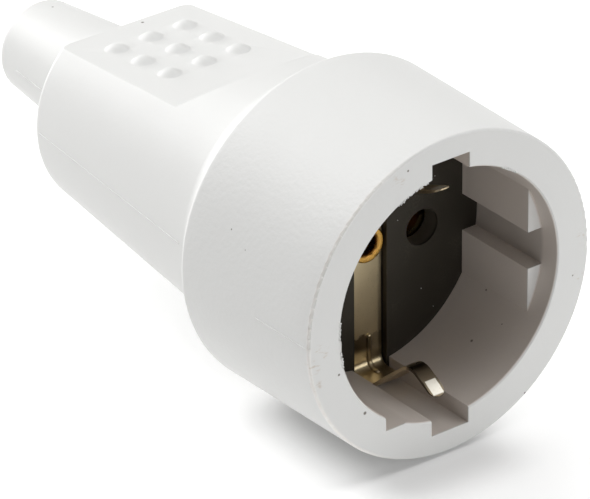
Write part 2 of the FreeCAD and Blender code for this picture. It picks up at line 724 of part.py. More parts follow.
def make_cap():
    """Cap that holds the collars in their seats, with barriers between the poles and a cord saddle."""
    back = "chamber_end + cap_thickness"
    outer = "chamber_radius + chamber_wall"
    plates = twin(lambda name, y: rod(name, outer, "chamber_end", back, y), "cap_plate")
    bridge = block("cap_bridge", ("chamber_end", back), ("-pin_offset", "pin_offset"),
                   ("-tongue_low", outer))
    barriers = []
    for name, sign in (("barrier_left", -1), ("barrier_right", 1)):
        near = "%d * barrier_offset" % sign
        far = near + " + %d * barrier_thickness" % sign
        across = (near, far) if sign > 0 else (far, near)
        depths = ("chamber_end", back + " + barrier_length")
        barriers.append(block(name, depths, across, ("-tongue_low", outer)))
    end = SADDLE_FRONT + " + saddle_length"
    half = ("-tongue_half_width", "tongue_half_width")
    tongue = block("cap_tongue", ("chamber_end", end), half,
                   ("-tongue_low", "-tongue_low + tongue_thickness"))
    saddle = block("cap_saddle", (SADDLE_FRONT, end), half, ("-tongue_low", "saddle_top"))
    solid = fuse("cap_solid", bridge, tongue, saddle, *(plates + barriers))
    bores = twin(lambda name, y: rod(name, "barrel_radius + fit_gap", "chamber_end - %s" % OVERSHOOT,
                                     back + " + %s" % OVERSHOOT, y), "barrel_bore")
    eye = rod("cap_eye", "rivet_radius + fit_gap / 2", "chamber_end - %s" % OVERSHOOT,
              back + " + %s" % OVERSHOOT)
    reach = (SADDLE_FRONT + " - %s" % OVERSHOOT, end + " + %s" % OVERSHOOT)
    trough = rod("cord_trough", "cord_radius", *reach)
    mouth = block("cord_trough_mouth", reach, ("-cord_radius", "cord_radius"),
                  ("0", "saddle_top + %s" % OVERSHOOT))
    depth, aside = saddle_places()
    pilots = [post("pilot_%d" % number, "clamp_screw_radius + fit_gap / 2", depth, "%d * %s" % (sign, aside),
                   "saddle_top - clamp_screw_depth - fit_gap", "saddle_top + %s" % OVERSHOOT)
              for number, sign in enumerate((-1, 1))]
    return cut("contact_cap", solid, eye, trough, mouth, *(bores + pilots))


def make_clamp_bar():
    """Bar across the cord saddle, hollowed underneath to grip a round cord."""
    end = SADDLE_FRONT + " + saddle_length"
    low = "saddle_top + clamp_bar_lift"
    bar = block("clamp_bar_block", (SADDLE_FRONT, end), ("-tongue_half_width", "tongue_half_width"),
                (low, low + " + clamp_bar_height"))
    hollow = rod("clamp_bar_hollow", "cord_radius", SADDLE_FRONT + " - %s" % OVERSHOOT,
                 end + " + %s" % OVERSHOOT, "0", "-clamp_bar_height / 2 + clamp_bar_lift")
    depth, aside = saddle_places()
    holes = [post("clamp_hole_%d" % number, "clamp_screw_radius + fit_gap", depth, "%d * %s" % (sign, aside),
                  "0", low + " + clamp_bar_height + %s" % OVERSHOOT) for number, sign in enumerate((-1, 1))]
    return cut("cord_clamp_bar", bar, hollow, *holes)


def make_clamp_screw(name, sign):
    """Screw that draws the clamp bar down on the cord."""
    depth, aside = saddle_places()
    seat = "(saddle_top + clamp_bar_lift + clamp_bar_height)"
    return make_screw(name, depth, "%d * %s" % (sign, aside), seat,
                      "clamp_bar_lift + clamp_bar_height + clamp_screw_depth", "clamp_screw_radius",
                      "clamp_screw_head_radius", "clamp_screw_head_height")


def make_parts():
    """Every sub-part of the connector, by the name of its file."""
    parts = {"body_sleeve": make_sleeve(), "insert_base": make_insert(), "contact_cap": make_cap()}
    for pole, y in (("live", "pin_offset"), ("neutral", "-pin_offset")):
        parts[pole + "_contact"] = make_contact(pole, y)
        parts[pole + "_contact_spring"] = make_contact_spring(pole, y)
        parts[pole + "_terminal_screw"] = make_terminal_screw(pole, y)
    parts["earth_strap"] = make_strap()
    parts["earth_rivet"] = make_rivet()
    parts["earth_lug"] = make_lug()
    parts["earth_clamp_washer"] = make_washer()
    parts["earth_terminal_screw"] = make_earth_screw()
    parts["cord_clamp_bar"] = make_clamp_bar()
    parts["cord_clamp_screw_left"] = make_clamp_screw("cord_clamp_screw_left", -1)
    parts["cord_clamp_screw_right"] = make_clamp_screw("cord_clamp_screw_right", 1)
    for name, part in parts.items():
        part.Label = name
    document.recompute()
    return parts


def check(parts):
    """Stops if any object failed or a sub-part isn't one sound solid."""
    for item in document.Objects:
        if "Invalid" in item.State or "Error" in item.State:
            raise RuntimeError("%s failed: %s" % (item.Label, item.State))
    for name, part in parts.items():
        shape = part.Shape
        if shape.isNull() or not shape.isValid() or len(shape.Solids) != 1:
            raise RuntimeError("%s isn't one sound solid" % name)


def main():
    """Builds, checks and writes the sub-parts."""
    parts = make_parts()
    check(parts)
    os.makedirs("parts", exist_ok=True)
    for name, part in parts.items():
        part.Shape.exportStep(os.path.join("parts", name + ".step"))
        print("%-24s %9.1f mm3" % (name, part.Shape.Volume))


main()
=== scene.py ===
"""Looks of the inline socket connector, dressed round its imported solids.

The origin is the centre of the mouth, +X points out of it and +Z is up. Lengths of the part and of
the camera are millimetres, as on a maker's drawing. Meshes, lamps and the floor are in metres.
"""
import logging
import math
from collections.abc import Callable
from dataclasses import dataclass
from enum import Enum, IntEnum

import bmesh
import bpy
from bpy.types import Material, Mesh, NodeSocket, Object
from mathutils import Matrix, Vector
from mathutils.bvhtree import BVHTree


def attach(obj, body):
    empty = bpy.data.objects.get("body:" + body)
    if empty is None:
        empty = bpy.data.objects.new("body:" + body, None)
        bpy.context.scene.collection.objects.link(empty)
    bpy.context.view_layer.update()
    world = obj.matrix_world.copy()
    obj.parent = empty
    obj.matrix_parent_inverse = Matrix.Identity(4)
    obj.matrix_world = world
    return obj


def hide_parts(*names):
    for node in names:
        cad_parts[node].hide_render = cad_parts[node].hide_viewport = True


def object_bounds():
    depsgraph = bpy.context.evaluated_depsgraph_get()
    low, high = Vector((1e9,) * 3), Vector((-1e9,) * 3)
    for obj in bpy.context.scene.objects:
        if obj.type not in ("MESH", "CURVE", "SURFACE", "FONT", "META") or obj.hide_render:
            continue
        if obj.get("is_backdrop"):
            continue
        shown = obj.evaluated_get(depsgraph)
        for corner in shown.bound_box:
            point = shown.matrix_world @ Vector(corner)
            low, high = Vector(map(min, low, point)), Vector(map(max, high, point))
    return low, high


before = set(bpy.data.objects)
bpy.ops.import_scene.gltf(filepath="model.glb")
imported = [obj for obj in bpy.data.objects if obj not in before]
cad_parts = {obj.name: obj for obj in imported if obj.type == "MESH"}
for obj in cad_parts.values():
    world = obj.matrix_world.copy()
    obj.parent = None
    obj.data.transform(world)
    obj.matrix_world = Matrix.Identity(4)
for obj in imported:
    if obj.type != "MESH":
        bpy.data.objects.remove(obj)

LOG = logging.getLogger("connector")
MM = 0.001
ROOT = "root"
INSERT_DEPTH = 18.5
NOISE_MIDDLE = 0.5
MERGE_DISTANCE = 2e-6
NORMAL_WEIGHT = 80
FACING_SHARE = 0.99
DEPTH_SLACK = 0.05
LUMP_LEVEL = 2
LUMP_LEAST = 0.35
FULL_TURN = 6.28
MIX_SHARE, MIX_FIRST, MIX_SECOND, MIX_COLOUR = 0, 6, 7, 2
RANDOM_LOW, RANDOM_HIGH, RANDOM_SEED, RANDOM_NUMBER = 2, 3, 8, 1
Colour = tuple[float, float, float]
Point = tuple[float, float, float]
Span = tuple[float, float]


class Slot(Enum):
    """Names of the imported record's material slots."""

    SLEEVE = "sleeve_white"
    CARRIER = "insert_black"
    BRASS = "contact_brass"
    STRAP = "strap_nickel"


class Salt(IntEnum):
    """What a random draw is for, added to the seed so that draws differ."""

    SIDES = 0
    TURN_X = 5
    TURN_Z = 6
    STRAY = 20


# Shader writing


class Wire:
    """A socket of a shader that takes part in Python arithmetic on values."""

    def __init__(self, weave: "Weave", socket: NodeSocket) -> None:
        """Keeps the socket and the shader that it belongs to."""
        self.weave = weave
        self.socket = socket

    def maths(self, operation: str, *values: "Wire | float") -> "Wire":
        """Value of one Math node, with its inputs in order."""
        return self.weave.node("ShaderNodeMath", {"operation": operation}, dict(enumerate(values)))

    def __add__(self, other: "Wire | float") -> "Wire":
        """This value plus the other."""
        return self.maths("ADD", self, other)

    def __radd__(self, other: float) -> "Wire":
        """The other plus this value."""
        return self.maths("ADD", other, self)

    def __sub__(self, other: "Wire | float") -> "Wire":
        """This value less the other."""
        return self.maths("SUBTRACT", self, other)

    def __rsub__(self, other: float) -> "Wire":
        """The other less this value."""
        return self.maths("SUBTRACT", other, self)

    def __mul__(self, other: "Wire | float") -> "Wire":
        """This value times the other."""
        return self.maths("MULTIPLY", self, other)

    def __rmul__(self, other: float) -> "Wire":
        """The other times this value."""
        return self.maths("MULTIPLY", other, self)

    def __gt__(self, other: "Wire | float") -> "Wire":
        """One where this value is above the other, else zero."""
        return self.maths("GREATER_THAN", self, other)

    def __abs__(self) -> "Wire":
        """This value without its sign."""
        return self.maths("ABSOLUTE", self)

    def greater(self, other: "Wire") -> "Wire":
        """The greater of this value and the other."""
        return self.maths("MAXIMUM", self, other)

    def swing(self, amount: float) -> "Wire":
        """This noise about its middle, times an amount."""
        return amount * (self - NOISE_MIDDLE)

    def edge(self, soft: float) -> "Wire":
        """Smooth step about zero, soft to both sides."""
        return self.step(-soft, soft)

    def step(self, low: float, high: float) -> "Wire":
        """Smooth step of this value, from 0 at the low end to 1 at the high end."""
        inputs = {"Value": self, "From Min": low, "From Max": high}
        return self.weave.node("ShaderNodeMapRange", {"interpolation_type": "SMOOTHSTEP"}, inputs)


class Weave:
    """A material's node tree, with a method for each kind of node that the finishes use."""

    def __init__(self, name: str) -> None:
        """Starts a material that holds only its output and one principled shader.

        Args:
            name: Name of the material.
        """
        self.material = bpy.data.materials.new(name)
        self.material.use_nodes = True
        self.tree = self.material.node_tree
        self.tree.nodes.clear()
        self.shader = self.tree.nodes.new("ShaderNodeBsdfPrincipled")
        output = self.tree.nodes.new("ShaderNodeOutputMaterial")
        self.tree.links.new(self.shader.outputs[0], output.inputs["Surface"])

    def put(self, socket: NodeSocket, value: object) -> None:
        """Links a wire to a socket, or sets the socket's own value.

        Args:
            socket: Input socket.
            value: A wire, a number, or a colour or vector.
        """
        if isinstance(value, Wire):
            self.tree.links.new(value.socket, socket)
        elif isinstance(value, tuple) and socket.type == "RGBA":
            socket.default_value = (*value, 1.0)
        else:
            socket.default_value = value

    def node(self, kind: str, settings: dict, inputs: dict, output: int | str = 0) -> Wire:
        """Adds a node.

        Args:
            kind: Type of the node.
            settings: Properties set first.
            inputs: Values or wires, by socket name or number.
            output: Name or number of the wanted output.

        Returns:
            The wanted output.
        """
        made = self.tree.nodes.new(kind)
        for name, value in settings.items():
            setattr(made, name, value)
        for name, value in inputs.items():
            self.put(made.inputs[name], value)
        return Wire(self, made.outputs[output])

    def vectors(self, operation: str, inputs: dict, output: int | str = 0) -> Wire:
        """Wanted output of one Vector Math node."""
        return self.node("ShaderNodeVectorMath", {"operation": operation}, inputs, output)

    def surface(self, **inputs: object) -> Material:
        """Sets the principled shader.

        Args:
            inputs: Values or wires by socket name, with underscores for blanks.

        Returns:
            The finished material.
        """
        for name, value in inputs.items():
            self.put(self.shader.inputs[name.replace("_", " ")], value)
        return self.material

    def place(self) -> Wire:
        """Place on the piece, in millimetres of the shared frame."""
        here = self.node("ShaderNodeTexCoord", {}, {}, "Object")
        return self.vectors("SCALE", {0: here, "Scale": 1.0 / MM})

    def parts(self, place: Wire) -> tuple[Wire, Wire, Wire]:
        """X, Y and Z of a place."""
        split = self.node("ShaderNodeSeparateXYZ", {}, {0: place}).socket.node
        return tuple(Wire(self, part) for part in split.outputs)

    def noise(self, place: Wire, grain: float, detail: float = 3.0,
              stretch: Point = (1, 1, 1)) -> Wire:
        """Cloudy noise between 0 and 1.

        Args:
            place: Where on the piece, in millimetres.
            grain: Width of the largest clouds in millimetres.
            detail: Number of finer layers.
            stretch: How much longer than wide the clouds are, along X, Y and Z.

        Returns:
            The noise.
        """
        scaled = tuple(1.0 / (grain * part) for part in stretch)
        here = self.vectors("MULTIPLY", {0: place, 1: scaled})
        return self.node("ShaderNodeTexNoise", {}, {"Vector": here, "Scale": 1.0, "Detail": detail})

    def blend(self, share: Wire | float, first: Wire | Colour, second: Wire | Colour) -> Wire:
        """Mix of two colours, with a share of the second."""
        inputs = {MIX_SHARE: share, MIX_FIRST: first, MIX_SECOND: second}
        return self.node("ShaderNodeMix", {"data_type": "RGBA"}, inputs, MIX_COLOUR)

    def distance(self, place: Wire, point: Point) -> Wire:
        """Distance in millimetres from a point of the frame."""
        return self.vectors("DISTANCE", {0: place, 1: point}, "Value")

    def reach(self, place: Wire) -> Wire:
        """Distance in millimetres from the axis of the well."""
        flat = self.vectors("MULTIPLY", {0: place, 1: (0.0, 1.0, 1.0)})
        return self.vectors("LENGTH", {0: flat}, "Value")

    def marks(self, place: Wire, marks: "tuple[Mark, ...]") -> Wire:
        """Mask of soft round marks.

        Args:
            place: Where on the piece, in millimetres.
            marks: The marks, at least one.

        Returns:
            One in the middle of each mark, zero away from them.
        """
        found = []
        for mark in marks:
            away = self.distance(place, mark.place)
            found.append(1.0 - away.step(mark.radius * mark.core, mark.radius))
        mask = found[0]
        for other in found[1:]:
            mask = mask.greater(other)
        return mask

    def bump(self, height: Wire, depth: float, strength: float = 1.0) -> Wire:
        """Bent normal of a relief of a depth in millimetres, from heights between 0 and 1."""
        inputs = {"Strength": strength, "Distance": depth * MM, "Height": height}
        return self.node("ShaderNodeBump", {}, inputs)


# Finishes


def dimmed(colour: Colour, share: float) -> Colour:
    """The colour at a share of its brightness."""
    return tuple(part * share for part in colour)


@dataclass(frozen=True)
class Mark:
    """A small round mark on a surface, full out to its core's share of the radius."""

    place: Point
    radius: float
    core: float = 0.4


@dataclass(frozen=True)
class MouldedWhite:
    """Soft white PVC, satin, fine moulded skin, handling dirt, painted well shade and rim
    highlight.
    """

    tint: Colour = (0.70, 0.70, 0.687)
    # Colour of the painted shade inside the well.
    dust: Colour = (0.59, 0.535, 0.49)
    dirt: Colour = (0.46, 0.35, 0.24)
    # Colour of the painted highlight along the mouth's left rim edge.
    edge: Colour = (0.90, 0.88, 0.85)
    speck: Colour = (0.16, 0.14, 0.12)
    roughness: float = 0.5
    uneven: float = 0.1
    soft: float = 0.4
    cloud_grain: float = 14.0
    cloud_share: float = 0.25
    cloud_tone: float = 0.95
    skin_grain: float = 0.8
    skin_depth: float = 0.045
    skin_off_head: float = 0.25
    head_length: float = 29.2
    head_fade: float = 0.8
    head_radius: float = 25.2
    head_slack: float = 0.3
    well_reach: float = 23.5
    well_start: float = 0.1
    well_start_soft: float = 0.15
    well_past_insert: float = 2.0
    well_end_soft: float = 0.5
    rib_setback: float = 3.4
    rib_reach: float = 19.3
    rib_end_half: float = 0.2
    rib_end_soft: float = 0.12
    # How far the painted shade is kept off the lit rib ends.
    rib_end_unshaded: float = 0.9
    rib_gap: float = 6.0
    gap_inset: float = 0.05
    gap_soft: float = 0.1
    gap_reach: float = 17.6
    gap_start: Span = (-0.4, 0.6)
    # Share and tone of the painted shade between the ribs.
    gap_shade: float = 0.35
    gap_shade_tone: float = 0.3
    rim_out: Span = (-0.2, 0.1)
    rim_depth: float = 0.55
    rim_soft: float = 0.3
    rim_left: Span = (4.0, 20.0)
    rim_highlight_share: float = 0.75
    worn_grain: float = 1.2
    worn_span: Span = (0.25, 0.7)
    worn_share: float = 0.13
    smear_grain: float = 0.45
    smear_stretch: Point = (1.0, 3.0, 1.0)
    smear_span: Span = (0.5, 0.72)
    smear_share: float = 0.5
    specks: tuple[Mark, ...] = (
        Mark((-77.2, 2.5, 12.34), 0.32), Mark((-97.4, 0.1, 7.9), 0.26),
        Mark((0.0, -7.7, 22.6), 0.24), Mark((0.0, -20.1, -5.8), 0.26),
        Mark((0.0, -15.5, -13.7), 0.36), Mark((-9.7, 11.8, -15.9), 0.3),
        Mark((-20.0, -23.7, 10.2), 0.17), Mark((-16.1, -24.2, 8.7), 0.14),
        Mark((0.0, 22.6, -4.5), 0.17), Mark((0.0, 13.9, -21.0), 0.26),
        Mark((-12.6, 16.8, -10.4), 0.22), Mark((-6.7, 15.0, -12.9), 0.16),
    )
    smears: tuple[Mark, ...] = (
        Mark((0.0, -23.3, -1.1), 1.8), Mark((0.0, -24.6, -3.2), 1.7),
        Mark((0.0, -24.1, -6.4), 1.5), Mark((0.0, 24.8, 1.4), 1.9),
        Mark((0.0, 23.6, -4.6), 1.3), Mark((0.0, -9.5, 21.6), 1.6),
    )

    def material(self) -> Material:
        """Builds the finish."""
        weave = Weave("moulded_white")
        place = weave.place()
        along, across, height = weave.parts(place)
        reach = weave.reach(place)
        clouds = weave.noise(place, self.cloud_grain, detail=2.0)
        fine = weave.noise(place, self.worn_grain)
        strokes = weave.noise(place, self.smear_grain, detail=2.0, stretch=self.smear_stretch)
        behind_rim = (-self.well_start - along).step(0.0, self.well_start_soft)
        past_insert = along + INSERT_DEPTH + self.well_past_insert
        behind_rim = behind_rim * past_insert.step(0.0, self.well_end_soft)
        from_rib_end = along + self.rib_setback
        rib_end = (self.rib_end_half - abs(from_rib_end)).step(0.0, self.rib_end_soft)
        rib_end = rib_end * (self.rib_reach + self.soft - reach).step(0.0, self.soft)
        # Mask of the painted shade in the well, kept off the lit rib ends.
        well_shade = (self.well_reach - reach).step(0.0, self.soft) * behind_rim
        well_shade = well_shade * (1.0 - self.rib_end_unshaded * rib_end)
        on_rim = (reach - self.head_radius).step(*self.rim_out)
        on_rim = on_rim * (along + self.rim_depth).step(0.0, self.rim_soft)
        left_rim = on_rim * (0.0 - across).step(*self.rim_left)
        worn = left_rim * fine.step(*self.worn_span) * self.worn_share
        smeared = weave.marks(place, self.smears) * strokes.step(*self.smear_span)
        smeared = smeared * self.smear_share
        base = weave.blend(clouds * self.cloud_share, self.tint, dimmed(self.tint, self.cloud_tone))
        # Painted highlight: the left rim edge is lightened.
        base = weave.blend(left_rim * self.rim_highlight_share, base, self.edge)
        # Painted shade: the well's inside takes the darker, warmer colour.
        base = weave.blend(well_shade, base, self.dust)
        # Painted shade, darker still, in the gap between the ribs.
        shaded_gap = (self.rib_gap / 2 - self.gap_inset - abs(height)).step(0.0, self.gap_soft)
        shaded_gap = shaded_gap * well_shade * (reach - self.gap_reach).step(0.0, self.soft)
        shaded_gap = shaded_gap * (0.0 - from_rib_end).step(*self.gap_start) * self.gap_shade
        base = weave.blend(shaded_gap, base, dimmed(self.dust, self.gap_shade_tone))
        base = weave.blend(worn.greater(smeared), base, self.dirt)
        base = weave.blend(weave.marks(place, self.specks), base, self.speck)
        on_head = (along + self.head_length).step(0.0, self.head_fade)
        on_head = on_head * (reach - self.head_radius).step(-self.head_slack, 0.0)
        skin = weave.noise(place, self.skin_grain, detail=2.0)
        skin = skin * (self.skin_off_head + (1.0 - self.skin_off_head) * on_head)
        return weave.surface(Base_Color=base, Roughness=self.roughness + clouds.swing(self.uneven),
                             Normal=weave.bump(skin, self.skin_depth))


@dataclass(frozen=True)
class CarrierBlack:
    """Black moulded thermoset, satin, slightly warm, with a film of dust."""

    tint: Colour = (0.013, 0.0115, 0.0085)
    dust: Colour = (0.09, 0.08, 0.065)
    sheen: Colour = (1.0, 0.9, 0.76)
    roughness: float = 0.48
    uneven: float = 0.12
    cloud_grain: float = 6.0
    face_grain: float = 0.35
    face_relief: float = 0.012
    hole_offset: float = 9.5
    hole_radius: float = 2.9
    hole_slack: float = 0.15
    hole_soft: float = 0.1
    hole_start: Span = (0.1, 0.6)
    hole_dust: float = 0.7
    scuff_clouds: Span = (0.48, 0.8)
    scuff_grain: Span = (0.35, 0.75)
    scuff_share: float = 0.35

    def material(self) -> Material:
        """Builds the finish."""
        weave = Weave("carrier_black")
        place = weave.place()
        clouds = weave.noise(place, self.cloud_grain)
        grain = weave.noise(place, self.face_grain, detail=2.0)
        along, across, height = weave.parts(place)
        aside = abs(across) - self.hole_offset
        off_axis = aside.maths("SQRT", aside * aside + height * height)
        in_hole = (self.hole_radius + self.hole_slack - off_axis).step(0.0, self.hole_soft)
        in_hole = in_hole * (-INSERT_DEPTH - along).step(*self.hole_start)
        scuffed = clouds.step(*self.scuff_clouds) * grain.step(*self.scuff_grain) * self.scuff_share
        base = weave.blend(scuffed.greater(in_hole * self.hole_dust), self.tint, self.dust)
        return weave.surface(Base_Color=base, Roughness=self.roughness + clouds.swing(self.uneven),
                             Specular_Tint=self.sheen, Normal=weave.bump(grain, self.face_relief))


@dataclass(frozen=True)
class GrainDust:
    """Dark household dust in mixed shades, matt."""

    tint: Colour = (0.17, 0.15, 0.12)
    roughness: float = 0.9
    shade_grain: float = 3.0
    shade_span: Span = (0.3, 0.7)
    shade_tone: float = 0.35

    def material(self) -> Material:
        """Builds the finish."""
        weave = Weave("grain_dust")
        shade = weave.noise(weave.place(), self.shade_grain, detail=2.0).step(*self.shade_span)
        base = weave.blend(shade, self.tint, dimmed(self.tint, self.shade_tone))
        return weave.surface(Base_Color=base, Roughness=self.roughness)


@dataclass(frozen=True)
class SprungStrip:
    """Nickel-plated spring strip: satin face, ground ends, painted dark reflections on bends and
    legs.
    """

    tint: Colour = (0.64, 0.54, 0.345)
    leg: Colour = (0.62, 0.51, 0.34)
    # Colour of the painted dark reflection on the falling part of each clip.
    fall_reflection: Colour = (0.10, 0.08, 0.055)
    ground: Colour = (0.61, 0.585, 0.52)
    # Colour of the tarnish film and specks, and of the painted dark reflection near the bends.
    tarnish_and_reflection: Colour = (0.15, 0.11, 0.06)
    roughness: float = 0.3
    uneven: float = 0.1
    face_depth: float = 19.0
    leg_run: float = 1.2
    crest_depth: float = 8.2
    crest_soft: float = 0.6
    upper_reflection_loss: float = 0.7
    facet_depth: float = 4.7
    facet_end: float = 2.6
    facet_end_soft: float = 0.08
    high_facet_shift: float = 0.9
    facet_half_width: float = 0.95
    facet_side_soft: float = 0.06
    facet_ragged: float = 0.15
    facet_dull: float = 0.12
    film_grain: float = 3.2
    film_span: Span = (0.45, 0.8)
    film_share: float = 0.15
    speckle_grain: float = 0.2
    speckle_span: Span = (0.66, 0.74)
    speckle_share: float = 0.25
    ragged_grain: float = 0.8
    # Where the painted dark reflection near the bends lies, and how strong it is.
    reflection_top: float = 14.9
    reflection_top_soft: float = 0.45
    reflection_ragged: float = 1.8
    reflection_foot: Span = (17.0, 18.2)
    reflection_right: Span = (-0.6, 2.2)
    reflection_right_loss: float = 0.6
    reflection_share: float = 0.9
    ripple_grain: float = 0.6
    ripple_depth: float = 0.003

    def material(self) -> Material:
        """Builds the finish."""
        weave = Weave("sprung_strip")
        place = weave.place()
        along, across, height = weave.parts(place)
        film = weave.noise(place, self.film_grain, detail=2.0)
        ragged = weave.noise(place, self.ragged_grain)
        speckle = weave.noise(place, self.speckle_grain, detail=1.0).step(*self.speckle_span)
        from_middle = abs(height)
        upper = height > 0.0
        on_leg = (along + self.face_depth).step(0.0, self.leg_run)
        # Painted dark reflection on each clip's falling part, weaker on the upper clip.
        fall_reflection_mask = (along + self.crest_depth).edge(self.crest_soft)
        fall_reflection_mask = fall_reflection_mask * (1.0 - self.upper_reflection_loss * upper)
        shifted = along - self.high_facet_shift * upper
        on_facet = (shifted + self.facet_depth).edge(self.facet_end_soft)
        on_facet = on_facet * (-self.facet_end - shifted).edge(self.facet_end_soft)
        inside = self.facet_half_width + ragged.swing(self.facet_ragged) - abs(across)
        on_facet = on_facet * inside.edge(self.facet_side_soft)
        # Painted dark reflection near the bends: ragged, off the leg, weaker to the right.
        over_bend = from_middle - self.reflection_top + ragged.swing(self.reflection_ragged)
        bend_reflection = over_bend.step(0.0, self.reflection_top_soft)
        bend_reflection = bend_reflection * (1.0 - from_middle.step(*self.reflection_foot))
        bend_reflection = bend_reflection * (1.0 - self.reflection_right_loss * across.step(*self.reflection_right))
        bend_reflection = bend_reflection * (1.0 - on_leg) * self.reflection_share
        base = weave.blend(on_leg, self.tint, self.leg)
        # Painted dark reflection on the falling parts.
        base = weave.blend(fall_reflection_mask, base, self.fall_reflection)
        base = weave.blend(on_facet, base, self.ground)
        filmed = film.step(*self.film_span) * self.film_share + speckle * self.speckle_share
        base = weave.blend(filmed, base, self.tarnish_and_reflection)
        # Painted dark reflection near the bends.
        base = weave.blend(bend_reflection, base, self.tarnish_and_reflection)
        ripple = weave.noise(place, self.ripple_grain, detail=1.0)
        rough = self.roughness + film.swing(self.uneven) + self.facet_dull * on_facet
        return weave.surface(Base_Color=base, Metallic=1.0, Roughness=rough,
                             Normal=weave.bump(ripple, self.ripple_depth))


@dataclass(frozen=True)
class RolledBrass:
    """Rolled brass of a hollow rivet, bright on the crown, brown where it turns into the bore."""

    tint: Colour = (0.70, 0.41, 0.10)
    brown: Colour = (0.34, 0.17, 0.04)
    roughness: float = 0.26
    uneven: float = 0.14
    bore_span: Span = (1.9, 2.3)
    bore_ragged: float = 0.3
    bore_share: float = 0.85
    film_grain: float = 0.9
    film_span: Span = (0.5, 0.8)
    film_share: float = 0.4
    turning_grain: float = 0.12
    turning_depth: float = 0.002

    def material(self) -> Material:
        """Builds the finish."""
        weave = Weave("rolled_brass")
        place = weave.place()
        reach = weave.reach(place)
        film = weave.noise(place, self.film_grain)
        inward = 1.0 - (reach + film.swing(self.bore_ragged)).step(*self.bore_span)
        base = weave.blend(inward * self.bore_share, self.tint, self.brown)
        base = weave.blend(film.step(*self.film_span) * self.film_share, base, self.brown)
        turning = weave.noise(place, self.turning_grain, detail=1.0)
        return weave.surface(Base_Color=base, Metallic=1.0,
                             Roughness=self.roughness + film.swing(self.uneven),
                             Normal=weave.bump(turning, self.turning_depth))


@dataclass(frozen=True)
class DrawnMetal:
    """Drawn or turned metal with fine streaks and a film of tarnish."""

    name: str
    tint: Colour
    tarnish: Colour
    roughness: float
    tarnish_share: float
    stretch: Point
    streak_grain: float = 0.16
    streak_uneven: float = 0.12
    streak_depth: float = 0.004
    streak_strength: float = 0.6
    film_grain: float = 2.6
    film_span: Span = (0.42, 0.72)
    film_uneven: float = 0.1

    def material(self) -> Material:
        """Builds the finish."""
        weave = Weave(self.name)
        place = weave.place()
        streaks = weave.noise(place, self.streak_grain, detail=2.0, stretch=self.stretch)
        film = weave.noise(place, self.film_grain, detail=4.0)
        tarnished = film.step(*self.film_span) * self.tarnish_share
        base = weave.blend(tarnished, self.tint, self.tarnish)
        rough = self.roughness + streaks.swing(self.streak_uneven) + film.swing(self.film_uneven)
        return weave.surface(Base_Color=base, Metallic=1.0, Roughness=rough,
                             Normal=weave.bump(streaks, self.streak_depth, self.streak_strength))


@dataclass(frozen=True)
class Patch:
    """A soft-edged rectangle of the floor with its own glow: painted shadow if dimmer, painted
    light if brighter.
    """

    middle: tuple[float, float]
    half: tuple[float, float]
    fade: float
    glow: float


@dataclass(frozen=True)
class PaleFloor:
    """Plain matt white floor with a faint glow.

    Painted shadow: less glow under the head and to the front left. Painted light: more right of the
    mouth.
    """

    tint: Colour = (0.69, 0.69, 0.687)
    roughness: float = 0.9
    cloud_grain: float = 40.0
    cloud_share: float = 0.1
    cloud_tone: float = 0.99
    glow: float = 0.42
    # Painted shadow: the glow falls to this towards the front left.
    near_glow: float = 0.1
    near_way: Point = (0.8, -0.6, 0.0)
    near_span: Span = (12.0, 80.0)
    # Painted shadow under the head, then a painted pool of light right of the mouth.
    patches: tuple[Patch, ...] = (
        Patch((-10.0, -3.0), (12.0, 7.0), fade=11.0, glow=0.12),
        Patch((12.0, 30.0), (10.0, 12.0), fade=16.0, glow=0.52),
    )

    def material(self) -> Material:
        """Builds the finish."""
        weave = Weave("pale_floor")
        place = weave.place()
        along, across, _ = weave.parts(place)
        clouds = weave.noise(place, self.cloud_grain, detail=1.0)
        base = weave.blend(clouds * self.cloud_share, self.tint, dimmed(self.tint, self.cloud_tone))
        # Painted shadow towards the front left, then the patches' painted shadow and light.
        forward = weave.vectors("DOT_PRODUCT", {0: place, 1: self.near_way}, "Value")
        light = weave.blend(forward.step(*self.near_span), (self.glow,) * 3, (self.near_glow,) * 3)
        for patch in self.patches:
            aside = along - patch.middle[0], across - patch.middle[1]
            near = [1.0 - abs(away).step(half, half + patch.fade)
                    for away, half in zip(aside, patch.half)]
            light = weave.blend(near[0] * near[1], light, (patch.glow,) * 3)
        return weave.surface(Base_Color=base, Roughness=self.roughness,
                             Emission_Color=light, Emission_Strength=1.0)


# Mesh helpers


def link(name: str, data: bpy.types.ID) -> Object:
    """Puts a mesh, a lamp or a camera in the scene as an object at the origin.

    Args:
        name: Name of the object.
        data: Its mesh, lamp or camera.

    Returns:
        The object.
    """
    item = bpy.data.objects.new(name, data)
    bpy.context.scene.collection.objects.link(item)
    return item


def settle(item: Object) -> Object:
    """Turns an object with its modifiers into a plain mesh.

    Args:
        item: Object with live modifiers.

    Returns:
        The same object, with no modifiers.
    """
    graph = bpy.context.evaluated_depsgraph_get()
    plain = bpy.data.meshes.new_from_object(item.evaluated_get(graph),
                                            preserve_all_data_layers=True, depsgraph=graph)
    item.modifiers.clear()
    item.data = plain
    return item


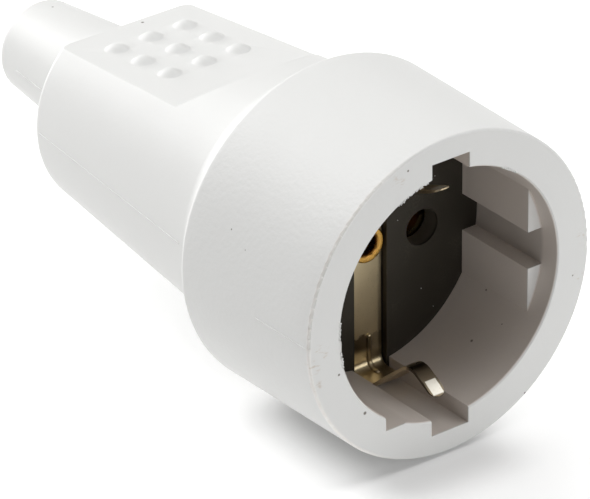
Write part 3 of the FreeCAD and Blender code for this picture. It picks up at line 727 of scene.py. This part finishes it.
def smooth_copy(node: str, name: str, crease: float,
                reshape: Callable[[bmesh.types.BMesh], None] | None = None) -> Object:
    """Merged copy of a solid's mesh, smooth except across its creases.

    Args:
        node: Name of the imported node.
        name: Name of the new piece.
        crease: Angle in degrees above which an edge stays sharp.
        reshape: Fine shaping of the merged copy, if any.

    Returns:
        The new piece, which stands for the node.
    """
    shell = bmesh.new()
    shell.from_mesh(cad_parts[node].data)
    bmesh.ops.remove_doubles(shell, verts=shell.verts, dist=MERGE_DISTANCE)
    if reshape is not None:
        reshape(shell)
    shell.normal_update()
    for face in shell.faces:
        face.smooth = True
    for edge in shell.edges:
        shallow = edge.calc_face_angle(0.0) < math.radians(crease)
        edge.smooth = len(edge.link_faces) == 2 and shallow
    mesh = bpy.data.meshes.new(name)
    shell.to_mesh(mesh)
    shell.free()
    stale = mesh.attributes.get("custom_normal")
    if stale is not None:
        mesh.attributes.remove(stale)
    item = link(name, mesh)
    level = item.modifiers.new("even_normals", "WEIGHTED_NORMAL")
    level.keep_sharp = True
    level.weight = NORMAL_WEIGHT
    settle(item)
    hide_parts(node)
    return item


def dress(item: Object, material: Material) -> Object:
    """Gives a new piece its finish and its body.

    Args:
        item: Finished piece.
        material: Its finish.

    Returns:
        The piece.
    """
    item.data.materials.clear()
    item.data.materials.append(material)
    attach(item, ROOT)
    return item


def paint(node: str, material: Material) -> None:
    """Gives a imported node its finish, with its mesh untouched."""
    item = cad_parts[node]
    item.data.materials.clear()
    item.data.materials.append(material)


def surface_of(node: str) -> BVHTree:
    """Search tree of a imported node's faces, in metres."""
    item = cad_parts[node]
    places = [item.matrix_world @ vertex.co for vertex in item.data.vertices]
    return BVHTree.FromPolygons(places, [tuple(face.vertices) for face in item.data.polygons])


def polylines(name: str, paths: list[list[Vector]]) -> Mesh:
    """Mesh of bare edges along some paths.

    Args:
        name: Name of the mesh.
        paths: Points of each path, in metres.

    Returns:
        The mesh.
    """
    places: list[Vector] = []
    edges: list[tuple[int, int]] = []
    for path in paths:
        first = len(places)
        places.extend(path)
        edges.extend((first + step, first + step + 1) for step in range(len(path) - 1))
    mesh = bpy.data.meshes.new(name)
    mesh.from_pydata(places, edges, [])
    return mesh


def facing_patch(name: str, node: str, depth: float) -> Mesh:
    """Copy of a node's faces that look out of the mouth at a depth.

    Args:
        name: Name of the mesh.
        node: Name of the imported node.
        depth: Depth of the faces behind the mouth, in millimetres.

    Returns:
        The mesh.
    """
    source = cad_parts[node].data
    wanted = [face for face in source.polygons if face.normal.x > FACING_SHARE
              and abs(face.center.x + depth * MM) < DEPTH_SLACK * MM]
    places = [source.vertices[corner].co for face in wanted for corner in face.vertices]
    faces: list[tuple[int, ...]] = []
    first = 0
    for face in wanted:
        faces.append(tuple(range(first, first + len(face.vertices))))
        first += len(face.vertices)
    mesh = bpy.data.meshes.new(name)
    mesh.from_pydata(places, [], faces)
    return mesh


# Geometry Nodes


class Recipe:
    """A Geometry Nodes tree with named inputs, run once on a mesh."""

    def __init__(self, name: str, inputs: dict[str, str]) -> None:
        """Starts the tree.

        Args:
            name: Name of the tree.
            inputs: Kind of each named input, beside the mesh and the finish.
        """
        self.name = name
        self.tree = bpy.data.node_groups.new(name, "GeometryNodeTree")
        sockets = self.tree.interface
        for way in ("OUTPUT", "INPUT"):
            sockets.new_socket("Geometry", in_out=way, socket_type="NodeSocketGeometry")
        self.keys: dict[str, str] = {}
        for label, kind in {**inputs, "Finish": "Material"}.items():
            made = sockets.new_socket(label, in_out="INPUT", socket_type="NodeSocket" + kind)
            self.keys[label] = made.identifier
        self.entry = self.tree.nodes.new("NodeGroupInput")
        self.exit = self.tree.nodes.new("NodeGroupOutput")

    def given(self, label: str) -> NodeSocket:
        """The named input."""
        return self.entry.outputs[label]

    def node(self, kind: str, settings: dict, inputs: dict, output: int | str = 0) -> NodeSocket:
        """Adds a node.

        Args:
            kind: Type of the node.
            settings: Properties set first.
            inputs: Values or sockets, by socket name or number.
            output: Name or number of the wanted output.

        Returns:
            The wanted output.
        """
        made = self.tree.nodes.new(kind)
        for name, value in settings.items():
            setattr(made, name, value)
        for name, value in inputs.items():
            if isinstance(value, NodeSocket):
                self.tree.links.new(value, made.inputs[name])
            else:
                made.inputs[name].default_value = value
        return made.outputs[output]

    def chance(self, low: float, high: float, salt: int) -> NodeSocket:
        """Random number for each element, from the tree's seed.

        Args:
            low: Least value.
            high: Greatest value.
            salt: Added to the seed, so that two numbers differ.

        Returns:
            The number.
        """
        terms = {0: self.given("Seed"), 1: float(salt)}
        seed = self.node("ShaderNodeMath", {"operation": "ADD"}, terms)
        inputs = {RANDOM_LOW: low, RANDOM_HIGH: high, RANDOM_SEED: seed}
        return self.node("FunctionNodeRandomValue", {"data_type": "FLOAT"}, inputs, RANDOM_NUMBER)

    def chances(self, low: float, high: float, salt: Salt) -> NodeSocket:
        """Vector of three random numbers for each element."""
        sides = {axis: self.chance(low, high, salt + number) for number, axis in enumerate("XYZ")}
        return self.node("ShaderNodeCombineXYZ", {}, sides)

    def scatter(self, points: NodeSocket) -> NodeSocket:
        """Puts a small lump of its own shape and turn on each point, of the Grain input's size.

        Args:
            points: Where the lumps go.

        Returns:
            The lumps, as instances.
        """
        lump = self.node("GeometryNodeMeshIcoSphere", {},
                         {"Radius": self.given("Grain"), "Subdivisions": LUMP_LEVEL})
        scale = self.chances(LUMP_LEAST, 1.0, Salt.SIDES)
        turn = self.node("ShaderNodeCombineXYZ", {},
                         {"X": self.chance(0.0, FULL_TURN, Salt.TURN_X),
                          "Z": self.chance(0.0, FULL_TURN, Salt.TURN_Z)})
        return self.node("GeometryNodeInstanceOnPoints", {},
                         {"Points": points, "Instance": lump, "Rotation": turn, "Scale": scale})

    def run(self, result: NodeSocket, mesh: Mesh, values: dict[str, object]) -> Object:
        """Ends the tree, runs it and keeps the plain mesh.

        Args:
            result: Geometry that the tree makes.
            mesh: Mesh that it starts from.
            values: Value of each named input.

        Returns:
            The new piece.
        """
        real = self.node("GeometryNodeRealizeInstances", {}, {"Geometry": result})
        smooth = self.node("GeometryNodeSetShadeSmooth", {}, {"Geometry": real})
        done = self.node("GeometryNodeSetMaterial", {},
                         {"Geometry": smooth, "Material": self.given("Finish")})
        self.tree.links.new(done, self.exit.inputs[0])
        item = link(self.name, mesh)
        modifier = item.modifiers.new(self.name, "NODES")
        modifier.node_group = self.tree
        for label, value in values.items():
            modifier[self.keys[label]] = value
        return settle(item)


@dataclass(frozen=True)
class Flash:
    """Thin raised line where the two halves of a mould met, uneven along its length."""

    name: str
    radius: float = 0.12
    wander: float = 7.0
    sides: int = 8
    drift_detail: float = 3.0
    drift_span: Span = (0.3, 0.7)
    thinnest: float = 0.75

    def build(self, paths: list[list[Vector]], material: Material) -> Object:
        """Sweeps the line.

        Args:
            paths: Points of each stretch, in metres.
            material: Finish of the line.

        Returns:
            The new piece.
        """
        recipe = Recipe(self.name, {"Radius": "Float", "Wander": "Float"})
        curve = recipe.node("GeometryNodeMeshToCurve", {}, {"Mesh": recipe.given("Geometry")})
        ring = recipe.node("GeometryNodeCurvePrimitiveCircle", {},
                           {"Resolution": self.sides, "Radius": recipe.given("Radius")})
        drift = recipe.node("ShaderNodeTexNoise", {},
                            {"Scale": recipe.given("Wander"), "Detail": self.drift_detail})
        low, high = self.drift_span
        width = recipe.node("ShaderNodeMapRange", {},
                            {"Value": drift, "From Min": low, "From Max": high,
                             "To Min": self.thinnest, "To Max": 1.0})
        tube = recipe.node("GeometryNodeCurveToMesh", {},
                           {"Curve": curve, "Profile Curve": ring, "Scale": width,
                            "Fill Caps": True})
        values = {"Radius": self.radius * MM, "Wander": 1.0 / (self.wander * MM),
                  "Finish": material}
        return recipe.run(tube, polylines(self.name + "_path", paths), values)


@dataclass(frozen=True)
class Crumbs:
    """Ragged crumbs of plastic left along a trimmed edge."""

    name: str
    count: int = 44
    grain: float = 0.2
    stray: float = 0.12
    seed: int = 11

    def build(self, paths: list[list[Vector]], material: Material) -> Object:
        """Strews the crumbs.

        Args:
            paths: Points of each stretch of edge, in metres.
            material: Finish of the crumbs.

        Returns:
            The new piece.
        """
        recipe = Recipe(self.name, {"Count": "Int", "Grain": "Float", "Stray": "Float",
                                    "Seed": "Int"})
        curve = recipe.node("GeometryNodeMeshToCurve", {}, {"Mesh": recipe.given("Geometry")})
        points = recipe.node("GeometryNodeCurveToPoints", {},
                             {"Curve": curve, "Count": recipe.given("Count")})
        way = recipe.chances(-1.0, 1.0, Salt.STRAY)
        away = recipe.node("ShaderNodeVectorMath", {"operation": "SCALE"},
                           {0: way, "Scale": recipe.given("Stray")})
        moved = recipe.node("GeometryNodeSetPosition", {}, {"Geometry": points, "Offset": away})
        values = {"Count": self.count, "Grain": self.grain * MM, "Stray": self.stray * MM,
                  "Seed": self.seed, "Finish": material}
        return recipe.run(recipe.scatter(moved), polylines(self.name + "_path", paths), values)


@dataclass(frozen=True)
class Grains:
    """Loose grains that lie on a face."""

    name: str
    per_square_mm: float
    grain: float
    seed: int

    def build(self, patch: Mesh, material: Material) -> Object:
        """Strews the grains.

        Args:
            patch: Faces that they lie on.
            material: Finish of the grains.

        Returns:
            The new piece.
        """
        recipe = Recipe(self.name, {"Density": "Float", "Grain": "Float", "Seed": "Int"})
        points = recipe.node("GeometryNodeDistributePointsOnFaces", {},
                             {"Mesh": recipe.given("Geometry"), "Density": recipe.given("Density"),
                              "Seed": recipe.given("Seed")})
        values = {"Density": self.per_square_mm / MM ** 2, "Grain": self.grain * MM,
                  "Seed": self.seed, "Finish": material}
        return recipe.run(recipe.scatter(points), patch, values)


# Sub-assemblies


@dataclass
class Sleeve:
    """The white moulding: well, head, flared neck with grip pads, and tail."""

    finish: MouldedWhite = MouldedWhite()
    flash: Flash = Flash("parting_flash")
    crumbs: Crumbs = Crumbs("mouth_crumbs")
    crease: float = 28.0
    well_edge: float = 19.9
    edge_setback: float = 0.1
    flash_spans: tuple[Span, ...] = ((-12.0, -0.7), (-77.4, -36.5), (-96.0, -79.6))
    ragged_arcs: tuple[Span, ...] = (
        (102.0, 118.0), (173.0, 181.0), (187.0, 194.0), (53.0, 62.0),
    )
    arc_steps: int = 12
    stride: float = 0.5
    pad_rear: tuple[float, float] = (-78.7, 12.2)
    pad_front: tuple[float, float] = (-47.6, 15.1)
    bump_centre: float = -64.9
    bump_pitch: tuple[float, float] = (6.7, 6.3)
    bump_radius: float = 2.0
    bump_height: float = 0.85
    bump_softness: float = 1.3
    bump_sink: float = 0.02
    bump_over: float = 0.1
    bump_foot: float = 1.02

    def soften_bumps(self, shell: bmesh.types.BMesh) -> None:
        """Runs the grip bumps out into their pads, as a soft moulding does.

        Args:
            shell: Merged mesh of the moulding, in metres.
        """
        run, rise = (front - rear for front, rear in zip(self.pad_front, self.pad_rear))
        lean = math.atan2(rise, run)
        middle = self.pad_rear[1] + (self.bump_centre - self.pad_rear[0]) * math.tan(lean)
        for side in (-1, 1):
            forward = Vector((math.cos(lean), 0.0, side * math.sin(lean)))
            outward = Vector((-math.sin(lean), 0.0, side * math.cos(lean)))
            centre = Vector((self.bump_centre, 0.0, side * middle))

            def reading(point: bmesh.types.BMVert) -> tuple[float, float]:
                """Height over the pad, and distance from the nearest bump's axis in its radius."""
                away = point.co / MM - centre
                offset = [away.dot(forward), away.y]
                for axis, pitch in enumerate(self.bump_pitch):
                    offset[axis] -= pitch * max(-1, min(1, round(offset[axis] / pitch)))
                return away.dot(outward), math.hypot(*offset) / self.bump_radius

            def on_bump(point: bmesh.types.BMVert) -> bool:
                """Whether a point lies on a bump or on its foot."""
                height, span = reading(point)
                top = self.bump_height + self.bump_over
                return -self.bump_sink < height < top and span < self.bump_foot

            edges = [edge for edge in shell.edges if all(on_bump(point) for point in edge.verts)]
            bmesh.ops.subdivide_edges(shell, edges=edges, cuts=1, use_grid_fill=True)
            for point in shell.verts:
                height, span = reading(point)
                if on_bump(point) and span < 1.0:
                    wanted = self.bump_height * (1.0 - span ** 2) ** self.bump_softness
                    point.co += outward * (wanted - height) * MM

    def seam(self) -> list[list[Vector]]:
        """Finds the parting line on both flanks.

        Returns:
            Points of each stretch, on the moulding's skin.
        """
        skin = surface_of("body_sleeve")
        paths: list[list[Vector]] = []
        for side in (-1.0, 1.0):
            for rear, front in self.flash_spans:
                path: list[Vector] = []
                for step in range(round((front - rear) / self.stride) + 1):
                    start = Vector(((rear + step * self.stride) * MM, side, 0.0))
                    hit = skin.ray_cast(start, Vector((0.0, -side, 0.0)))[0]
                    if hit is not None:
                        path.append(hit)
                paths.append(path)
        return paths

    def ragged_edge(self) -> list[list[Vector]]:
        """Finds the stretches of the mouth's inner edge that are ragged.

        Returns:
            Points of each stretch, in metres.
        """
        paths: list[list[Vector]] = []
        for first, last in self.ragged_arcs:
            turns = [math.radians(first + (last - first) * step / self.arc_steps)
                     for step in range(self.arc_steps + 1)]
            paths.append([Vector((-self.edge_setback, self.well_edge * math.cos(turn),
                                  self.well_edge * math.sin(turn))) * MM for turn in turns])
        return paths

    def build(self) -> list[Object]:
        """Makes the sleeve's visible pieces.

        Returns:
            The pieces, dressed.
        """
        white = self.finish.material()
        pieces = [smooth_copy("body_sleeve", "sleeve_moulding", self.crease, self.soften_bumps),
                  self.flash.build(self.seam(), white),
                  self.crumbs.build(self.ragged_edge(), white)]
        return [dress(piece, white) for piece in pieces]


@dataclass
class Carrier:
    """The black insert with its contact cap and cord clamp bar."""

    finish: CarrierBlack = CarrierBlack()
    dust: GrainDust = GrainDust()
    grains: Grains = Grains("insert_dust", per_square_mm=0.025, grain=0.085, seed=4)
    crease: float = 30.0

    def build(self) -> list[Object]:
        """Makes the carrier's visible pieces.

        Returns:
            The pieces, dressed.
        """
        black = self.finish.material()
        for node in ("contact_cap", "cord_clamp_bar"):
            paint(node, black)
        face = facing_patch("insert_face", "insert_base", INSERT_DEPTH)
        grains = self.grains.build(face, self.dust.material())
        carrier = smooth_copy("insert_base", "insert_carrier", self.crease)
        return [dress(carrier, black),
                dress(grains, grains.data.materials[0])]


@dataclass
class EarthPath:
    """The sprung strap, its hollow rivet and the earth terminal behind."""

    strip: SprungStrip = SprungStrip()
    brass: RolledBrass = RolledBrass()
    strap_crease: float = 30.0
    rivet_crease: float = 40.0

    def build(self) -> list[Object]:
        """Makes the earth path's visible pieces.

        Returns:
            The pieces, dressed.
        """
        brass = self.brass.material()
        for node in ("earth_lug", "earth_clamp_washer"):
            paint(node, brass)
        strap = smooth_copy("earth_strap", "earth_spring_strap", self.strap_crease)
        dress(strap, self.strip.material())
        rivet = smooth_copy("earth_rivet", "earth_hollow_rivet", self.rivet_crease)
        dress(rivet, brass)
        return [strap, rivet]


@dataclass
class Terminals:
    """Contacts, their springs and every screw."""

    brass: DrawnMetal = DrawnMetal(
        "turned_brass", tint=(0.76, 0.55, 0.25), tarnish=(0.36, 0.21, 0.08), roughness=0.3,
        tarnish_share=0.5, stretch=(12, 1, 1),
    )
    steel: DrawnMetal = DrawnMetal(
        "zinc_steel", tint=(0.60, 0.60, 0.58), tarnish=(0.36, 0.34, 0.30), roughness=0.34,
        tarnish_share=0.4, stretch=(1, 1, 1),
    )

    def build(self) -> list[Object]:
        """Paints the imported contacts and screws.

        Returns:
            No new pieces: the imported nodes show.
        """
        brass = self.brass.material()
        steel = self.steel.material()
        for pole in ("live", "neutral"):
            paint(pole + "_contact", brass)
            paint(pole + "_contact_spring", steel)
            paint(pole + "_terminal_screw", steel)
        for node in ("earth_terminal_screw", "cord_clamp_screw_left", "cord_clamp_screw_right"):
            paint(node, steel)
        return []


# Studio


@dataclass
class Softbox:
    """A large round lamp that faces the middle of the part."""

    name: str
    place: Point
    width: float
    power: float

    def build(self, target: Vector) -> None:
        """Hangs the lamp.

        Args:
            target: Point that it faces, in metres.
        """
        lamp = bpy.data.lights.new(self.name, "AREA")
        lamp.shape = "DISK"
        lamp.size = self.width
        lamp.energy = self.power
        item = link(self.name, lamp)
        item.location = self.place
        item.rotation_mode = "QUATERNION"
        item.rotation_quaternion = (target - Vector(self.place)).to_track_quat("-Z", "Y")


@dataclass
class Studio:
    """Pale floor, soft lamps and the camera at the photograph's viewing angle."""

    azimuth: float = 52.879
    elevation: float = 28.780
    roll: float = -0.594
    shift_right: float = 22.102
    shift_up: float = -6.557
    distance: float = 837.252
    focal_pixels: float = 5896.18
    image_width: int = 590
    sensor: float = 36.0
    near_clip: float = 0.01
    floor_half: float = 6.0
    ambient: float = 0.0
    finish: PaleFloor = PaleFloor()
    lamps: tuple[Softbox, ...] = (
        Softbox("rear_top_lamp", (-0.9, -0.5, 1.5), 1.6, 18.3),
        Softbox("rear_high_right_lamp", (-0.9, 0.7, 1.4), 1.0, 1.7),
        Softbox("rear_low_lamp", (-1.6, -0.3, 0.5), 1.0, 20.5),
        Softbox("top_lamp", (0.0, 0.0, 1.8), 1.6, 9.6),
        Softbox("right_lamp", (0.1, 1.5, 0.9), 1.0, 3.7),
        Softbox("high_right_lamp", (0.4, 1.1, 1.6), 1.0, 9.7),
        Softbox("front_right_lamp", (1.3, 0.9, 0.5), 1.0, 4.8),
        Softbox("axis_lamp", (1.6, -0.1, 0.35), 1.0, 4.0),
        Softbox("front_lamp", (1.3, -0.5, 0.9), 1.0, 1.5),
    )

    def floor(self, height: float) -> None:
        """Lays the floor.

        Args:
            height: Its level in metres.
        """
        half = self.floor_half
        corners = [(-half, -half, height), (half, -half, height),
                   (half, half, height), (-half, half, height)]
        mesh = bpy.data.meshes.new("floor")
        mesh.from_pydata(corners, [], [(0, 1, 2, 3)])
        mesh.materials.append(self.finish.material())
        link("floor", mesh)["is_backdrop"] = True

    def camera(self) -> None:
        """Sets the camera up."""
        angles = self.azimuth, self.elevation, self.roll
        azimuth, elevation, roll = (math.radians(angle) for angle in angles)
        back = Vector((math.sin(azimuth) * math.cos(elevation),
                       -math.cos(azimuth) * math.cos(elevation), math.sin(elevation)))
        right = Vector((0, 0, 1)).cross(back).normalized()
        up = back.cross(right)
        turned_right = math.cos(roll) * right + math.sin(roll) * up
        turned_up = -math.sin(roll) * right + math.cos(roll) * up
        spot = back * self.distance - turned_right * self.shift_right - turned_up * self.shift_up
        data = bpy.data.cameras.new("camera")
        data.sensor_width = self.sensor
        data.lens = self.focal_pixels * self.sensor / self.image_width
        data.clip_start = self.near_clip
        item = link("camera", data)
        turn = Matrix((turned_right, turned_up, back)).transposed()
        item.matrix_world = Matrix.Translation(spot * MM) @ turn.to_4x4()
        bpy.context.scene.camera = item

    def build(self, low: Vector, high: Vector) -> None:
        """Sets the floor, the lamps, the sky and the camera.

        Args:
            low: Lowest corner of the part.
            high: Highest corner of the part.
        """
        self.floor(low.z)
        for lamp in self.lamps:
            lamp.build((low + high) / 2)
        sky = bpy.data.worlds.new("sky")
        sky.use_nodes = True
        sky.node_tree.nodes["Background"].inputs["Strength"].default_value = self.ambient
        bpy.context.scene.world = sky
        bpy.context.scene.view_settings.view_transform = "Standard"
        self.camera()


def main() -> None:
    """Builds every sub-assembly, then the studio."""
    logging.basicConfig(level=logging.INFO, format="%(name)s: %(message)s")
    low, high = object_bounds()
    for assembly in (Sleeve(), Carrier(), EarthPath(), Terminals()):
        for piece in assembly.build():
            LOG.info("%s: %s with %d faces", type(assembly).__name__, piece.name,
                     len(piece.data.polygons))
    Studio().build(low, high)


if __name__ == "__main__":
    main()
